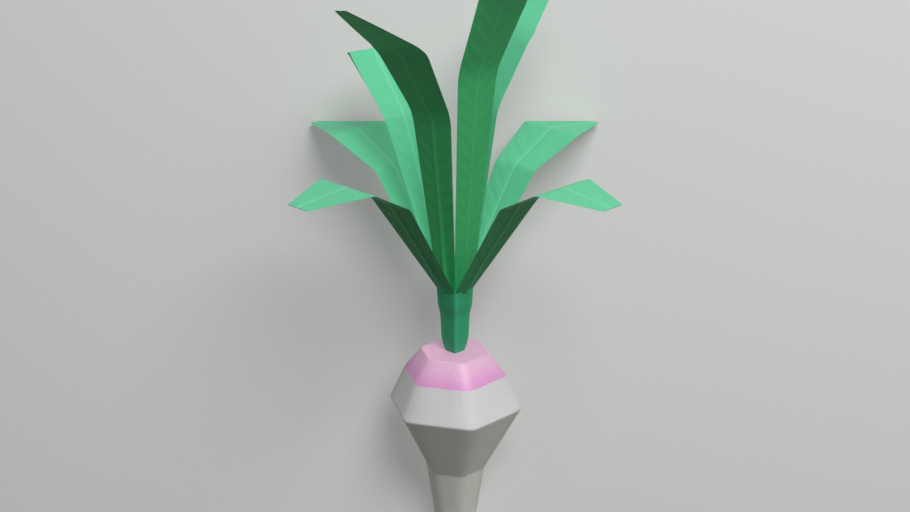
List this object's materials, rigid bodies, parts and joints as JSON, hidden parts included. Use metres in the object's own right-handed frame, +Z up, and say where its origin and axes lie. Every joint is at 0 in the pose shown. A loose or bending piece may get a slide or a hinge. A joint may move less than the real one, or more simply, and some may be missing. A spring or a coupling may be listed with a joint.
{
  "type": "radish with leaves",
  "caption": "Whole radish lying on its back: faceted globe root with pink shoulders and a white taproot, short square stalk and two rings of folded green leaves.",
  "frame": {"origin": "middle of the bottom of the whole radish's box, on the surface that it lies on", "axes": "+Z up from the surface, +Y towards the leaf tips, +X to the right when the radish is seen from above with its leaves away from the viewer"},
  "size_m": [0.0918, 0.2256, 0.0975],
  "materials": {
    "root_skin": "satin",
    "stalk_green": "satin",
    "leaf_green": "satin"
  },
  "bodies": {
    "root": {"root": "root_skin", "stalk": "stalk_green", "outer_leaf_front_left": "leaf_green", "outer_leaf_front_right": "leaf_green", "outer_leaf_back_left": "leaf_green", "outer_leaf_back_right": "leaf_green", "inner_leaf_front_left": "leaf_green", "inner_leaf_front_right": "leaf_green", "inner_leaf_back_left": "leaf_green", "inner_leaf_back_right": "leaf_green"}
  },
  "joints": []
}
